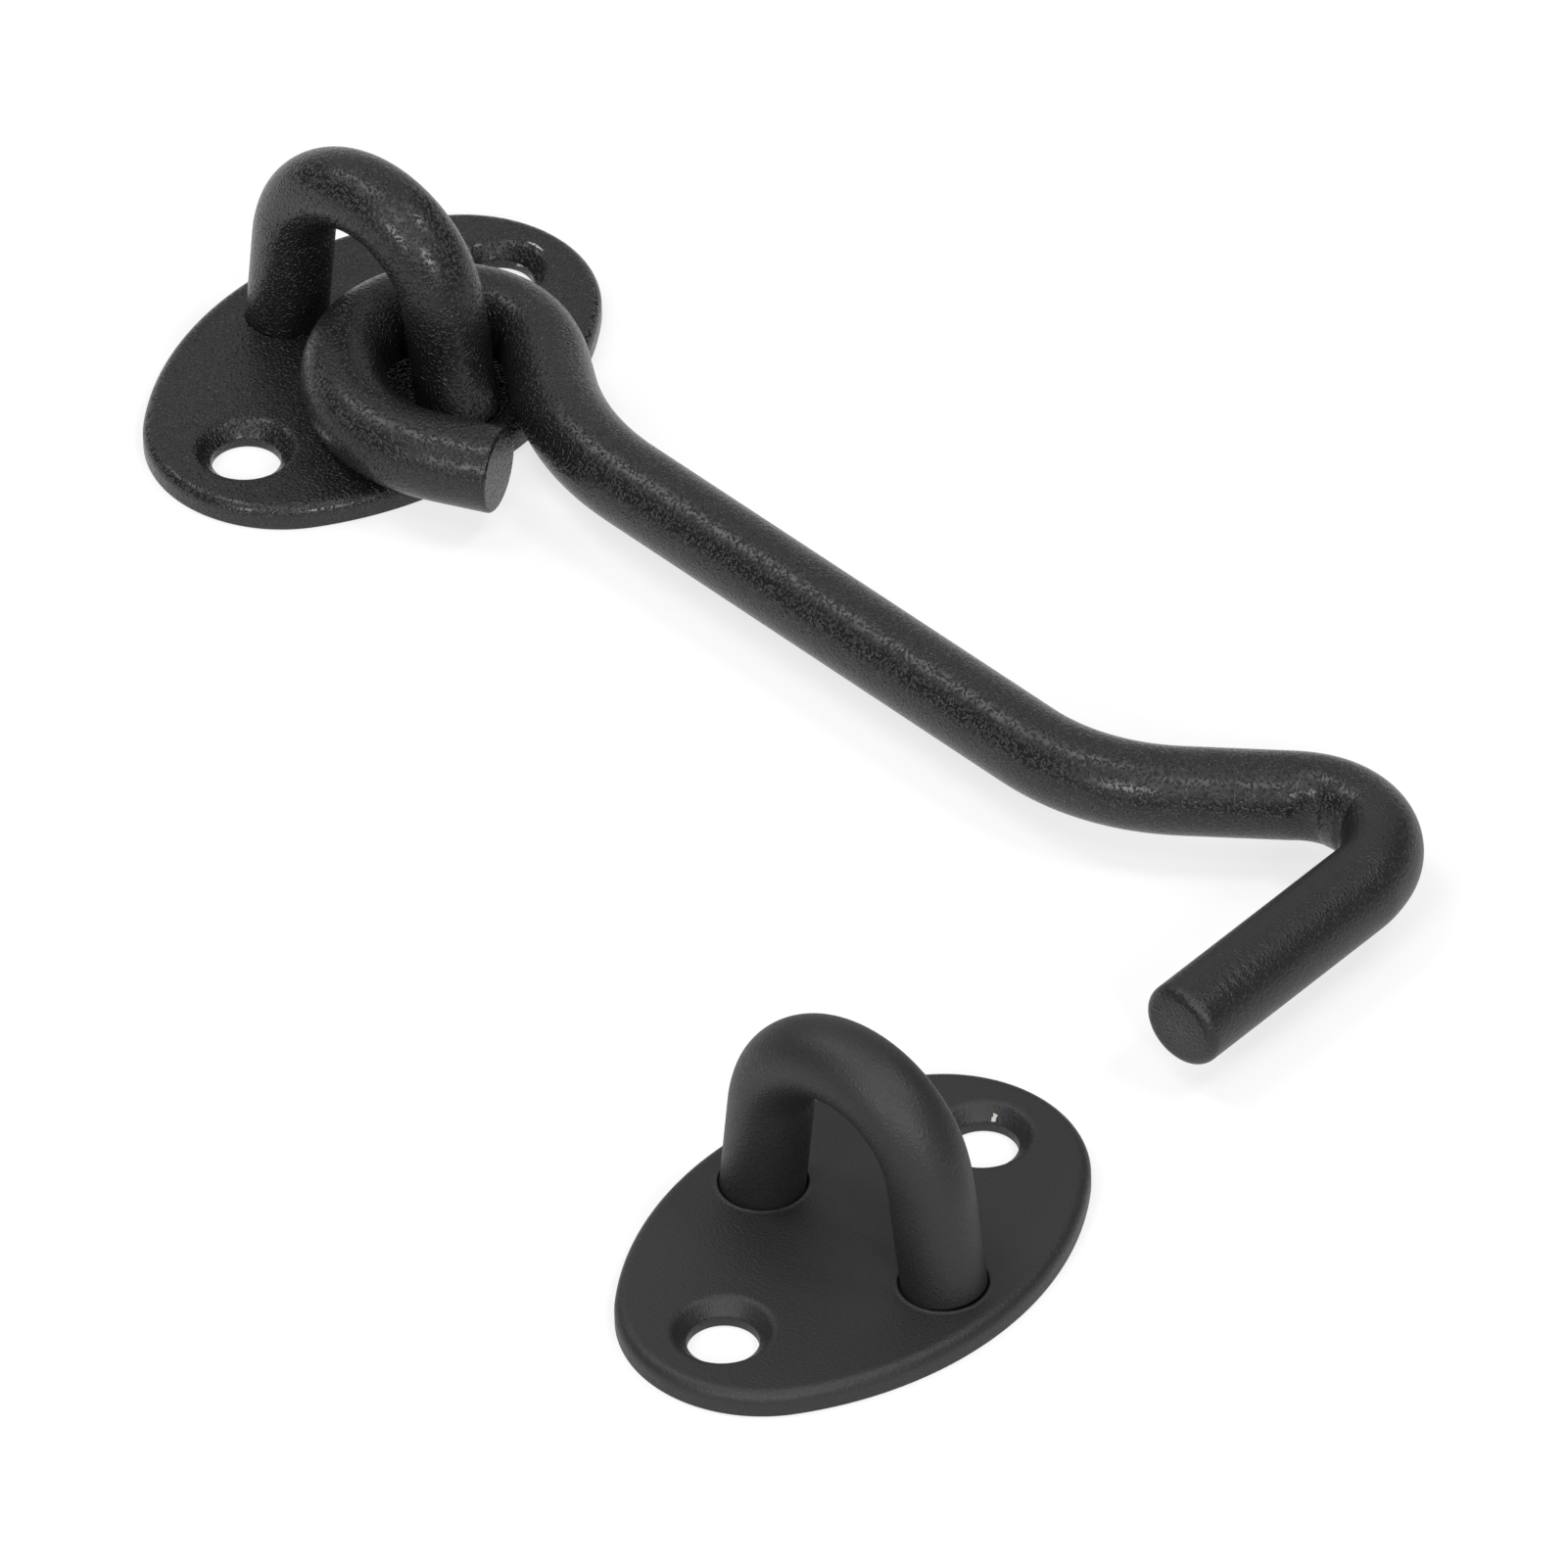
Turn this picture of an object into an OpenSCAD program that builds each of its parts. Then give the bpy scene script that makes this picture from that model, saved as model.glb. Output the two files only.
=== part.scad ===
// Barn door latch of the cabin hook kind: a bent bar arm whose eye swings on the staple of the
// hook plate, and a keeper plate with a like staple that the arm's nose drops through.
// +Z points out of the door face that both plates lie on, +Y joins the two screw holes of a
// plate, and the arm points to +X. The origin is the middle of the hook plate's back.

/* [Plates] */
// Length of an oval plate, along its screw holes
plate_len = 39; // [36:0.5:46]
// Width of an oval plate
plate_width = 26.8; // [26.6:0.2:30]
// Thickness of a plate
plate_t = 1.9; // [1.9:0.1:2.6]
// Radius of the pressed round edge round the plate's front
plate_rim_r = 0.9; // [0.3:0.1:0.9]

/* [Screw holes] */
// Distance between the two screw holes
screw_spacing = 27; // [25:0.5:30]
// Diameter of a screw hole
screw_hole_d = 5; // [4:0.1:5.4]
// Diameter of the countersink at the plate's front
countersink_d = 7.6; // [6.5:0.1:8]
// Full angle of the countersink
countersink_angle = 90; // [82:1:100]

/* [Staples] */
// Diameter of the staple's round bar
staple_bar_d = 6; // [5:0.1:6.4]
// Distance between the staple's legs, centre to centre at the plate's back
staple_feet = 17; // [16:0.1:18.5]
// Height of the staple's centre line at its crown, above the plate's back
staple_rise = 16.65; // [15:0.1:22]
// Bend radius of the staple's crown, at the centre line
staple_bend_r = 7.25; // [6.4:0.05:7.6]
// Diameter of the turned-down tenon that goes through the plate
tenon_d = 4; // [3:0.1:4.4]
// Diameter of the riveted head behind the plate
rivet_head_d = 5.8; // [5:0.1:6.4]
// Depth of the riveted head in the plate
rivet_head_h = 0.9; // [0.6:0.1:1]
// Clearance round the tenon and its head
tenon_fit = 0.05; // [0.02:0.01:0.1]

/* [Arm] */
// Diameter of the arm's round bar
arm_bar_d = 6.3; // [5.4:0.1:6.5]
// Bend radius of the eye, at the centre line
eye_r = 7.18; // [7.1:0.01:7.6]
// Turn of the round part of the eye
eye_turn = 155; // [150:0.5:156]
// How far the eye's middle lies off the leg that it turns on
eye_slack = 0.6; // [0:0.05:0.7]
// Gap between the arm and the plate below it
arm_lift = 0.3; // [0.25:0.05:1]
// Bend radius of the last bend before the eye's cut end
tail_bend_r = 10; // [9:0.1:11]
// Turn of that bend
tail_turn = 85; // [80:0.5:86]
// Straight length at the eye's cut end
tail_len = 5; // [3:0.1:5.3]
// Straight length between the eye and the shank's bend
neck_len = 3.9; // [2:0.1:4.8]
// Bend radius between neck and shank
neck_bend_r = 21.4; // [18:0.1:26]
// Turn between neck and shank
neck_turn = 33; // [30:0.1:36]
// Straight length of the shank
shank_len = 41.5; // [35:0.5:46]
// Bend radius where the shank cranks sideways
crank_bend_r = 16.4; // [12:0.1:20]
// Turn of the crank
crank_turn = 41.9; // [36:0.1:46]
// Straight length of the crank
crank_len = 8.4; // [6:0.1:11]
// Bend radius at the root of the nose
nose_bend_r = 6.1; // [5.4:0.1:7]
// Turn at the root of the nose
nose_turn = 125.6; // [118:0.1:132]
// Straight length of the nose, up to the round edge of its tip
nose_len = 19.1; // [12:0.1:20]
// Radius of the round edge of the nose's tip
tip_edge_r = 0.8; // [0.3:0.1:1.2]
// Swing of the arm about the leg as it lies, from +X
rest_angle = -5.5; // [-9:0.1:30]

/* [Keeper] */
// How far the keeper stands from the hook plate, along the arm
keeper_along = 90.3; // [90:0.1:120]
// How far the keeper stands to the nose's side
keeper_aside = 50.2; // [49:0.1:80]

/* [Hidden] */
$fn = 72;
// Depth by which a bend draws the bar in, below its straight runs
draw = 0.02;
// Length by which each straight run reaches into the bend beside it
lap = 0.1;
// Cuts run this far past the face that they open through
cut_past = 1;
bar_fn = 40;
plate_colour = [0.16, 0.16, 0.17];
bar_colour = [0.2, 0.2, 0.21];

half_len = plate_len / 2;
half_width = plate_width / 2;
// The oval is drawn from four centres, which lie 4 units along X and 3 along Y from its middle.
// A side arc and an end arc meet in one tangent, on the 5 unit line through both their centres.
oval_unit = (half_len - half_width) / 2;
end_r = half_len - 3 * oval_unit;
side_r = half_width + 4 * oval_unit;
oval_angle = atan2(3, 4);

foot = staple_feet / 2;
crown_z = staple_rise - staple_bend_r;
// How far a leg leans in towards the crown, from the tangent to the crown's arc
leg_lean = acos(staple_bend_r / norm([foot, crown_z])) - atan2(crown_z, foot);
leg_len = sqrt(foot ^ 2 + crown_z ^ 2 - staple_bend_r ^ 2);
// Where a leg's centre line crosses the plate's front
tenon_x = foot - plate_t * tan(leg_lean);

arm_z = plate_t + arm_lift + arm_bar_d / 2;
pivot_x = foot - arm_z * tan(leg_lean);
countersink_h = (countersink_d - screw_hole_d) / 2 / tan(countersink_angle / 2);

// Half section of a disc from radius inner out to radius r, h thick, with a round front edge
module disc_section(r, inner, h, edge_r) {
    translate([inner, 0]) square([r - edge_r - inner, h]);
    translate([inner, 0]) square([r - inner, h - edge_r]);
    translate([r - edge_r, h - edge_r]) circle(r = edge_r);
}

// One sector of the oval: centre, outer and inner radius, first angle and angle turned
module oval_sector(centre, r, inner, from, turn) {
    translate([centre[0], centre[1], 0]) rotate(from) rotate_extrude(angle = turn)
        disc_section(r, inner, plate_t, plate_rim_r);
}

module oval_blank() {
    for (half = [0, 180])
        rotate(half) {
            oval_sector([-4 * oval_unit, 0], side_r, 3 * oval_unit, -oval_angle, 2 * oval_angle);
            oval_sector([0, 3 * oval_unit], end_r, 0, oval_angle, 180 - 2 * oval_angle);
        }
}

module screw_hole() {
    translate([0, 0, -cut_past]) cylinder(h = plate_t + 2 * cut_past, d = screw_hole_d);
    translate([0, 0, plate_t - countersink_h])
        cylinder(h = countersink_h, d1 = screw_hole_d, d2 = countersink_d);
    translate([0, 0, plate_t]) cylinder(h = cut_past, d = countersink_d);
}

// Tenon with its riveted head, grown by fit for the hole that takes it
module tenon(fit = 0) {
    cylinder(h = plate_t, d = tenon_d + 2 * fit);
    cylinder(h = rivet_head_h, d1 = rivet_head_d + 2 * fit, d2 = tenon_d + 2 * fit);
}

// Pressed oval plate with two countersunk screw holes and two holes for the staple
module latch_plate() {
    difference() {
        oval_blank();
        for (side = [-1, 1]) {
            translate([0, side * screw_spacing / 2, 0]) screw_hole();
            translate([side * tenon_x, 0, 0]) tenon(tenon_fit);
            translate([side * tenon_x, 0, -cut_past]) cylinder(h = cut_past, d = rivet_head_d + 2 * tenon_fit);
            translate([side * tenon_x, 0, plate_t - tenon_fit]) cylinder(h = cut_past, d = tenon_d + 2 * tenon_fit);
        }
    }
}

// Bar bent as on a bending jig, from the origin along +X in the XY plane. Each step is
// [straight length, turn to the left, bend radius]. The last step has no turn, and a child
// is drawn at its end.
module bent_bar(steps, d, i = 0) {
    run = steps[i][0];
    turn = steps[i][1];
    bend_r = steps[i][2];
    ends_here = turn == 0;
    translate([-lap, 0, 0]) rotate([0, 90, 0])
        cylinder(h = run + (ends_here ? lap : 2 * lap), d = d, $fn = bar_fn);
    if (ends_here)
        translate([run, 0, 0]) children();
    else
        translate([run, sign(turn) * bend_r, 0]) {
            rotate(turn > 0 ? -90 : 90 + turn) bar_arc(bend_r, abs(turn), d);
            rotate(turn) translate([0, -sign(turn) * bend_r, 0]) bent_bar(steps, d, i + 1) children();
        }
}

// Bend of a bar about the Z axis, from +X round to the left
module bar_arc(bend_r, turn, d) {
    rotate_extrude(angle = turn) translate([bend_r, 0]) circle(d = d - 2 * draw, $fn = bar_fn);
}

// Round bar staple with splayed legs, shouldered on the plate and riveted behind it
module latch_staple() {
    intersection() {
        translate([foot, 0, 0]) rotate([90, 0, 0]) rotate(90 + leg_lean)
            bent_bar([[leg_len, 180 - 2 * leg_lean, staple_bend_r], [leg_len + lap, 0, 0]], staple_bar_d);
        translate([-plate_len, -plate_len, plate_t]) cube(2 * plate_len);
    }
    for (side = [-1, 1]) translate([side * tenon_x, 0, 0]) tenon();
}

// Flat end of the nose with its round edge, from the origin along +X
module nose_tip() {
    translate([-lap - tip_edge_r, 0, 0]) rotate([0, 90, 0]) rotate_extrude()
        disc_section(arm_bar_d / 2 - draw, 0, lap + 2 * tip_edge_r, tip_edge_r);
}

// Arm about the eye's middle, with its shank along +X
module bent_arm() {
    neck_at = 90 - neck_turn;
    rotate(neck_at) bar_arc(eye_r, eye_turn, arm_bar_d);
    rotate(neck_at) translate([eye_r, 0, 0]) rotate(-90) bent_bar([
        [neck_len, neck_turn, neck_bend_r],
        [shank_len, crank_turn, crank_bend_r],
        [crank_len, -nose_turn, nose_bend_r],
        [nose_len, 0, 0]
    ], arm_bar_d) nose_tip();
    rotate(neck_at + eye_turn) translate([eye_r, 0, 0]) rotate(90)
        bent_bar([[0, tail_turn, tail_bend_r], [tail_len, 0, 0]], arm_bar_d);
}

// Place of the keeper on the door face
module at_keeper() {
    translate([keeper_along, -keeper_aside, 0]) children();
}

module hook_plate() {
    color(plate_colour) latch_plate();
}

module hook_staple() {
    color(bar_colour) latch_staple();
}

module hook_arm() {
    color(bar_colour)
        translate([pivot_x, 0, arm_z]) rotate(rest_angle) translate([0, -eye_slack, 0]) bent_arm();
}

module keeper_plate() {
    color(plate_colour) at_keeper() latch_plate();
}

module keeper_staple() {
    color(bar_colour) at_keeper() latch_staple();
}

hook_plate();
hook_staple();
hook_arm();
keeper_plate();
keeper_staple();
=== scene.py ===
"""Dressed model of a barn door latch: two pressed plates, two riveted staples and a bent bar arm.

Every length here is in metres in the CAD frame: +Z out of the plates, +Y along their screw holes,
+X along the arm. The sizes repeat those of the CAD source, because this script reads no other file.
"""
from __future__ import annotations

import logging
import math
from dataclasses import dataclass, field
from enum import Enum

import bpy
import numpy as np
from mathutils import Matrix, Vector
from mathutils.geometry import delaunay_2d_cdt


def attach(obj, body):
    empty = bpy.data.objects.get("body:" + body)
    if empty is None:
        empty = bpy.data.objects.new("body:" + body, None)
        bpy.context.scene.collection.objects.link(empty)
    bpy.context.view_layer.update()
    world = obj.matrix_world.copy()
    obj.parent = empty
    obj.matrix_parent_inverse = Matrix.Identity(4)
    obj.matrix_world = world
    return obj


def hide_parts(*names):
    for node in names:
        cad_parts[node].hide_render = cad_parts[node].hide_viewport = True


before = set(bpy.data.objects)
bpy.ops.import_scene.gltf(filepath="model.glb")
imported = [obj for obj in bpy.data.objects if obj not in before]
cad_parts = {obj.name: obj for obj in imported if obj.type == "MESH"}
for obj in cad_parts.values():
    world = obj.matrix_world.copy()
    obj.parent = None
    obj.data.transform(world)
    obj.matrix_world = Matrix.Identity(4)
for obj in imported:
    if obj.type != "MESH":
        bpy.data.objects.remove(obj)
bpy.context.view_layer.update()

LOG = logging.getLogger("latch")
MM = 0.001
UP = np.array([0.0, 0.0, 1.0])
# Sides of each screw hole, seat and riveted head
ROUND_SIDES = 96
# A noise texture's values lie nearly all between these
NOISE_SPAN = (0.3, 0.7)
Array = np.ndarray


class Body(Enum):
    """The rigid bodies that pieces ride on."""

    BASE = "base"
    ARM = "arm"


class Grain(Enum):
    """How strongly the powder coat's grain stands out, as a share of the full relief."""

    SMOOTH = 0.3
    COARSE = 1.0


def linear(hex_colour: str) -> tuple[float, float, float, float]:
    """Turns an sRGB hex colour into linear RGBA.

    Args:
        hex_colour: Six hex digits, without a mark in front.

    Returns:
        Linear red, green and blue with an alpha of 1.
    """
    srgb = np.array([int(hex_colour[i : i + 2], 16) for i in (0, 2, 4)]) / 255
    values = np.where(srgb <= 0.04045, srgb / 12.92, ((srgb + 0.055) / 1.055) ** 2.4)
    return (*values.tolist(), 1.0)


def angles_round(count: int) -> Array:
    """Spaces angles evenly round a circle, from 0."""
    return np.linspace(0, 2 * np.pi, count, endpoint=False)


def add_node(
    tree: bpy.types.NodeTree,
    kind: str,
    inputs: dict[str | int, object] | None = None,
    **settings: object,
) -> bpy.types.Node:
    """Adds one shader node with its settings, values and links.

    Args:
        tree: Node tree that takes the node.
        kind: Blender's identifier of the node.
        inputs: Socket name or index to a value, or to the output socket that feeds it.
        **settings: Attributes of the node itself.

    Returns:
        The new node.
    """
    node = tree.nodes.new(kind)
    for name, value in settings.items():
        setattr(node, name, value)
    for socket, value in (inputs or {}).items():
        if isinstance(value, bpy.types.NodeSocket):
            tree.links.new(value, node.inputs[socket])
        else:
            node.inputs[socket].default_value = value
    return node


@dataclass(frozen=True)
class PowderCoat:
    """Satin black polyester powder, sprayed on steel and baked.

    The powder melts into a skin with a fine grain over a wide, low orange peel. To the eye this
    gives a soft highlight that breaks up into small glints. A few pale specks are painted into
    its colour as glints.
    """

    name: str
    grain: Grain
    colour: str = "141415"
    # Pale colour of the painted glints, and of bare metal where the coat is chipped
    worn: str = "b9b4ac"
    ior: float = 1.48
    roughness: float = 0.27
    # Roughness gained in the grain's hollows and lost on its peaks
    gloss_spread: float = 0.06
    # Roughness gained where the coat has flowed quite smooth
    flowed_matt: float = 0.3
    # Part of the real grain is too fine to show, so all of it is drawn 0.24 mm wide, which is as
    # coarse as it needs to be to show as glints two pixels wide
    grain_mm: float = 0.24
    # Height of the grain, and the noise values between which its peaks rise
    relief_mm: float = 0.075
    peak_span: tuple[float, float] = (0.46, 0.76)
    # Width of the orange peel's swells, and their height as a share of the grain's
    swell_mm: float = 2.4
    swell_share: float = 0.5
    # Width of the cells that may hold a painted glint, and the share of them that do
    speck_mm: float = 0.55
    speck_odds: float = 0.025
    # Radius of a painted glint in cells, and how far it turns to the pale colour
    speck_radius: float = 0.13
    speck_paleness: float = 0.35
    # Wear times grain, between which the coat turns to bare metal
    chip_span: tuple[float, float] = (0.28, 0.36)

    def build(self) -> bpy.types.Material:
        """Makes the material.

        Returns:
            The material, whose patterns lie on Object coordinates and have sizes in millimetres.
        """
        material = bpy.data.materials.new(self.name)
        material.use_nodes = True
        tree = material.node_tree
        place = add_node(tree, "ShaderNodeTexCoord").outputs["Object"]
        # The attribute is above 0 where the coat is chipped, and below 0 where it flowed smooth
        wear = add_node(tree, "ShaderNodeAttribute", attribute_name="wear").outputs["Fac"]
        grain = add_node(
            tree,
            "ShaderNodeTexNoise",
            {"Vector": place, "Scale": 1 / (self.grain_mm * MM), "Detail": 1.0, "Roughness": 0.6},
        ).outputs["Fac"]
        shader = tree.nodes["Principled BSDF"]
        tree.links.new(self.paint(tree, place, wear, grain), shader.inputs["Base Color"])
        tree.links.new(self.gloss(tree, wear, grain), shader.inputs["Roughness"])
        tree.links.new(self.texture(tree, place, wear, grain), shader.inputs["Normal"])
        shader.inputs["IOR"].default_value = self.ior
        shader.inputs["Metallic"].default_value = 0.0
        return material

    def paint(
        self,
        tree: bpy.types.NodeTree,
        place: bpy.types.NodeSocket,
        wear: bpy.types.NodeSocket,
        grain: bpy.types.NodeSocket,
    ) -> bpy.types.NodeSocket:
        """Colours the coat, with pale specks painted in as glints, and its chips.

        Args:
            tree: Node tree of the material.
            place: Object coordinates.
            wear: The wear attribute.
            grain: Noise of the grain.

        Returns:
            The colour.
        """
        # Pale specks in random cells are painted glints, stronger where the grain is coarse
        cells = add_node(
            tree,
            "ShaderNodeTexVoronoi",
            {"Vector": place, "Scale": 1 / (self.speck_mm * MM)},
            feature="F1",
        )
        chosen = add_node(
            tree,
            "ShaderNodeMath",
            {0: cells.outputs["Color"], 1: 1 - self.speck_odds},
            operation="GREATER_THAN",
        )
        near = add_node(
            tree,
            "ShaderNodeMath",
            {0: cells.outputs["Distance"], 1: self.speck_radius},
            operation="LESS_THAN",
        )
        speck = add_node(
            tree,
            "ShaderNodeMath",
            {0: chosen.outputs[0], 1: near.outputs[0]},
            operation="MULTIPLY",
        )
        faint = add_node(
            tree,
            "ShaderNodeMath",
            {0: speck.outputs[0], 1: self.speck_paleness * self.grain.value},
            operation="MULTIPLY",
        )
        glinted = add_node(
            tree,
            "ShaderNodeMix",
            {"Factor": faint.outputs[0], "A": linear(self.colour), "B": linear(self.worn)},
            data_type="RGBA",
        )
        patchy = add_node(tree, "ShaderNodeMath", {0: wear, 1: grain}, operation="MULTIPLY")
        chipped = add_node(
            tree,
            "ShaderNodeMapRange",
            {
                "Value": patchy.outputs[0],
                "From Min": self.chip_span[0],
                "From Max": self.chip_span[1],
            },
        )
        bare = add_node(
            tree,
            "ShaderNodeMix",
            {
                "Factor": chipped.outputs["Result"],
                "A": glinted.outputs["Result"],
                "B": linear(self.worn),
            },
            data_type="RGBA",
        )
        return bare.outputs["Result"]

    def gloss(
        self,
        tree: bpy.types.NodeTree,
        wear: bpy.types.NodeSocket,
        grain: bpy.types.NodeSocket,
    ) -> bpy.types.NodeSocket:
        """Makes the coat glossier on the grain's peaks, and more matt where it flowed smooth.

        Args:
            tree: Node tree of the material.
            wear: The wear attribute.
            grain: Noise of the grain.

        Returns:
            The roughness.
        """
        spread = add_node(
            tree,
            "ShaderNodeMapRange",
            {
                "Value": grain,
                "From Min": NOISE_SPAN[0],
                "From Max": NOISE_SPAN[1],
                "To Min": self.roughness + self.gloss_spread,
                "To Max": self.roughness - self.gloss_spread,
            },
        )
        matt = add_node(
            tree,
            "ShaderNodeMapRange",
            {
                "Value": wear,
                "From Min": -1.0,
                "From Max": 0.0,
                "To Min": self.flowed_matt,
                "To Max": 0.0,
            },
        )
        rough = add_node(
            tree,
            "ShaderNodeMath",
            {0: spread.outputs["Result"], 1: matt.outputs["Result"]},
            operation="ADD",
        )
        return rough.outputs[0]

    def texture(
        self,
        tree: bpy.types.NodeTree,
        place: bpy.types.NodeSocket,
        wear: bpy.types.NodeSocket,
        grain: bpy.types.NodeSocket,
    ) -> bpy.types.NodeSocket:
        """Raises the grain and the orange peel, less of both where the coat flowed smooth.

        Args:
            tree: Node tree of the material.
            place: Object coordinates.
            wear: The wear attribute.
            grain: Noise of the grain.

        Returns:
            The normal.
        """
        share = add_node(
            tree,
            "ShaderNodeMapRange",
            {
                "Value": wear,
                "From Min": -1.0,
                "From Max": 0.0,
                "To Min": 0.0,
                "To Max": self.grain.value,
            },
        )
        # Only the grain's peaks stand up, so that the skin between them stays smooth
        peaks = add_node(
            tree,
            "ShaderNodeMapRange",
            {"Value": grain, "From Min": self.peak_span[0], "From Max": self.peak_span[1]},
            interpolation_type="SMOOTHSTEP",
        )
        fine = add_node(
            tree,
            "ShaderNodeBump",
            {
                "Strength": share.outputs["Result"],
                "Distance": self.relief_mm * MM,
                "Height": peaks.outputs["Result"],
            },
        )
        swell = add_node(
            tree,
            "ShaderNodeTexNoise",
            {"Vector": place, "Scale": 1 / (self.swell_mm * MM), "Detail": 2.0, "Roughness": 0.5},
        )
        peel = add_node(
            tree,
            "ShaderNodeBump",
            {
                "Strength": share.outputs["Result"],
                "Distance": self.swell_share * self.relief_mm * MM,
                "Height": swell.outputs["Fac"],
                "Normal": fine.outputs["Normal"],
            },
        )
        return peel.outputs["Normal"]


@dataclass
class Shell:
    """Grids and flat faces gathered into one mesh."""

    points: list[Array] = field(default_factory=list)
    faces: list[Array] = field(default_factory=list)
    wear: list[Array] = field(default_factory=list)
    count: int = 0

    def take(self, points: Array, wear: Array | float = 0.0) -> Array:
        """Takes points in.

        Args:
            points: Any array of points whose last axis is x, y, z.
            wear: Wear of the points, from 1 for chipped bare to -1 for flowed smooth.

        Returns:
            The index of each point, shaped as the points are without their last axis.
        """
        shape = points.shape[:-1]
        size = int(np.prod(shape))
        self.points.append(points.reshape(-1, 3))
        self.wear.append(np.broadcast_to(wear, shape).reshape(-1))
        self.count += size
        return np.arange(self.count - size, self.count).reshape(shape)

    def grid(self, index: Array, flip: bool = False) -> None:
        """Lays quads over a grid of points whose second parameter closes on itself.

        Args:
            index: Point indices, first parameter down and second across.
            flip: Turns the faces over.
        """
        after = np.roll(index, -1, axis=1)
        quads = np.stack([index[:-1], after[:-1], after[1:], index[1:]], axis=-1).reshape(-1, 4)
        self.faces.append(quads[:, ::-1] if flip else quads)

    def cap(self, ring: Array, centre: Array, flip: bool = False) -> None:
        """Closes a ring with triangles that meet in its centre.

        Args:
            ring: Point indices of the ring.
            centre: The centre point.
            flip: Turns the faces over.
        """
        middle = np.broadcast_to(self.take(centre[None])[0], ring.shape)
        triangles = np.stack([middle, ring, np.roll(ring, -1)], axis=-1)
        self.faces.append(triangles[:, ::-1] if flip else triangles)

    def lathe(self, middle: Array, profile: Array, wear: Array | float = 0.0) -> Array:
        """Turns a profile about an upright axis, without laying faces over it.

        Point = middle + radius * (cos(a), sin(a)) at the profile's height.

        Args:
            middle: Place of the axis in the plan.
            profile: Radius and height of each point.
            wear: Wear for each profile point and side.

        Returns:
            Point indices, profile down and sides across.
        """
        angle = angles_round(ROUND_SIDES)
        circle = np.stack([np.cos(angle), np.sin(angle)], axis=1)
        plan = middle + profile[:, 0][:, None, None] * circle
        height = np.broadcast_to(profile[:, 1][:, None, None], (*plan.shape[:2], 1))
        return self.take(np.concatenate([plan, height], axis=2), wear)

    def flat(self, loops: list[Array], flip: bool = False) -> None:
        """Fills the level face between an outline and the round holes in it.

        Args:
            loops: Point indices of each closed loop, the outline first and then the holes.
            flip: Turns the faces over.
        """
        index = np.concatenate(loops)
        plan = np.concatenate(self.points)[index, :2]
        ends = np.cumsum([len(loop) for loop in loops])
        spans = [(end - len(loop), end) for loop, end in zip(loops, ends)]
        edges = np.concatenate(
            [
                np.stack([np.arange(first, end), np.roll(np.arange(first, end), -1)], axis=1)
                for first, end in spans
            ]
        )
        # The filler works in plain numbers near 1, so it gets millimetres
        corners_mm = [Vector(point) for point in (plan / MM).tolist()]
        inside_outline, merge_mm = 1, 1e-6
        filled = delaunay_2d_cdt(corners_mm, edges.tolist(), [], inside_outline, merge_mm)
        triangles = np.array(filled[2])
        middles = plan[triangles].mean(axis=1)
        in_hole = np.zeros(len(triangles), dtype=bool)
        for first, end in spans[1:]:
            centre = plan[first:end].mean(axis=0)
            radius = np.linalg.norm(plan[first] - centre)
            in_hole |= np.linalg.norm(middles - centre, axis=1) < radius
        triangles = triangles[~in_hole]
        corners = plan[triangles]
        one, other = corners[:, 1] - corners[:, 0], corners[:, 2] - corners[:, 0]
        clockwise = one[:, 0] * other[:, 1] - one[:, 1] * other[:, 0] < 0
        triangles[clockwise] = triangles[clockwise][:, ::-1]
        faces = index[triangles]
        self.faces.append(faces[:, ::-1] if flip else faces)

    def build(self, name: str, material: bpy.types.Material) -> bpy.types.Object:
        """Makes the object.

        Args:
            name: Name of the piece.
            material: Its one material.

        Returns:
            A smooth shaded object at the origin.
        """
        mesh = bpy.data.meshes.new(name)
        faces = [row for block in self.faces for row in block.tolist()]
        mesh.from_pydata(np.concatenate(self.points).tolist(), [], faces)
        attribute = mesh.attributes.new("wear", "FLOAT", "POINT")
        attribute.data.foreach_set("value", np.concatenate(self.wear).astype(np.float32))
        mesh.shade_smooth()
        mesh.materials.append(material)
        mesh.validate()
        piece = bpy.data.objects.new(name, mesh)
        bpy.context.scene.collection.objects.link(piece)
        return piece


@dataclass(frozen=True)
class Bend:
    """A straight run of a bar and the bend after it."""

    run: float
    turn: float
    radius: float

    @property
    def arc(self) -> float:
        """Works out the bend's length along its centre line."""
        return self.turn * self.radius


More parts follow.
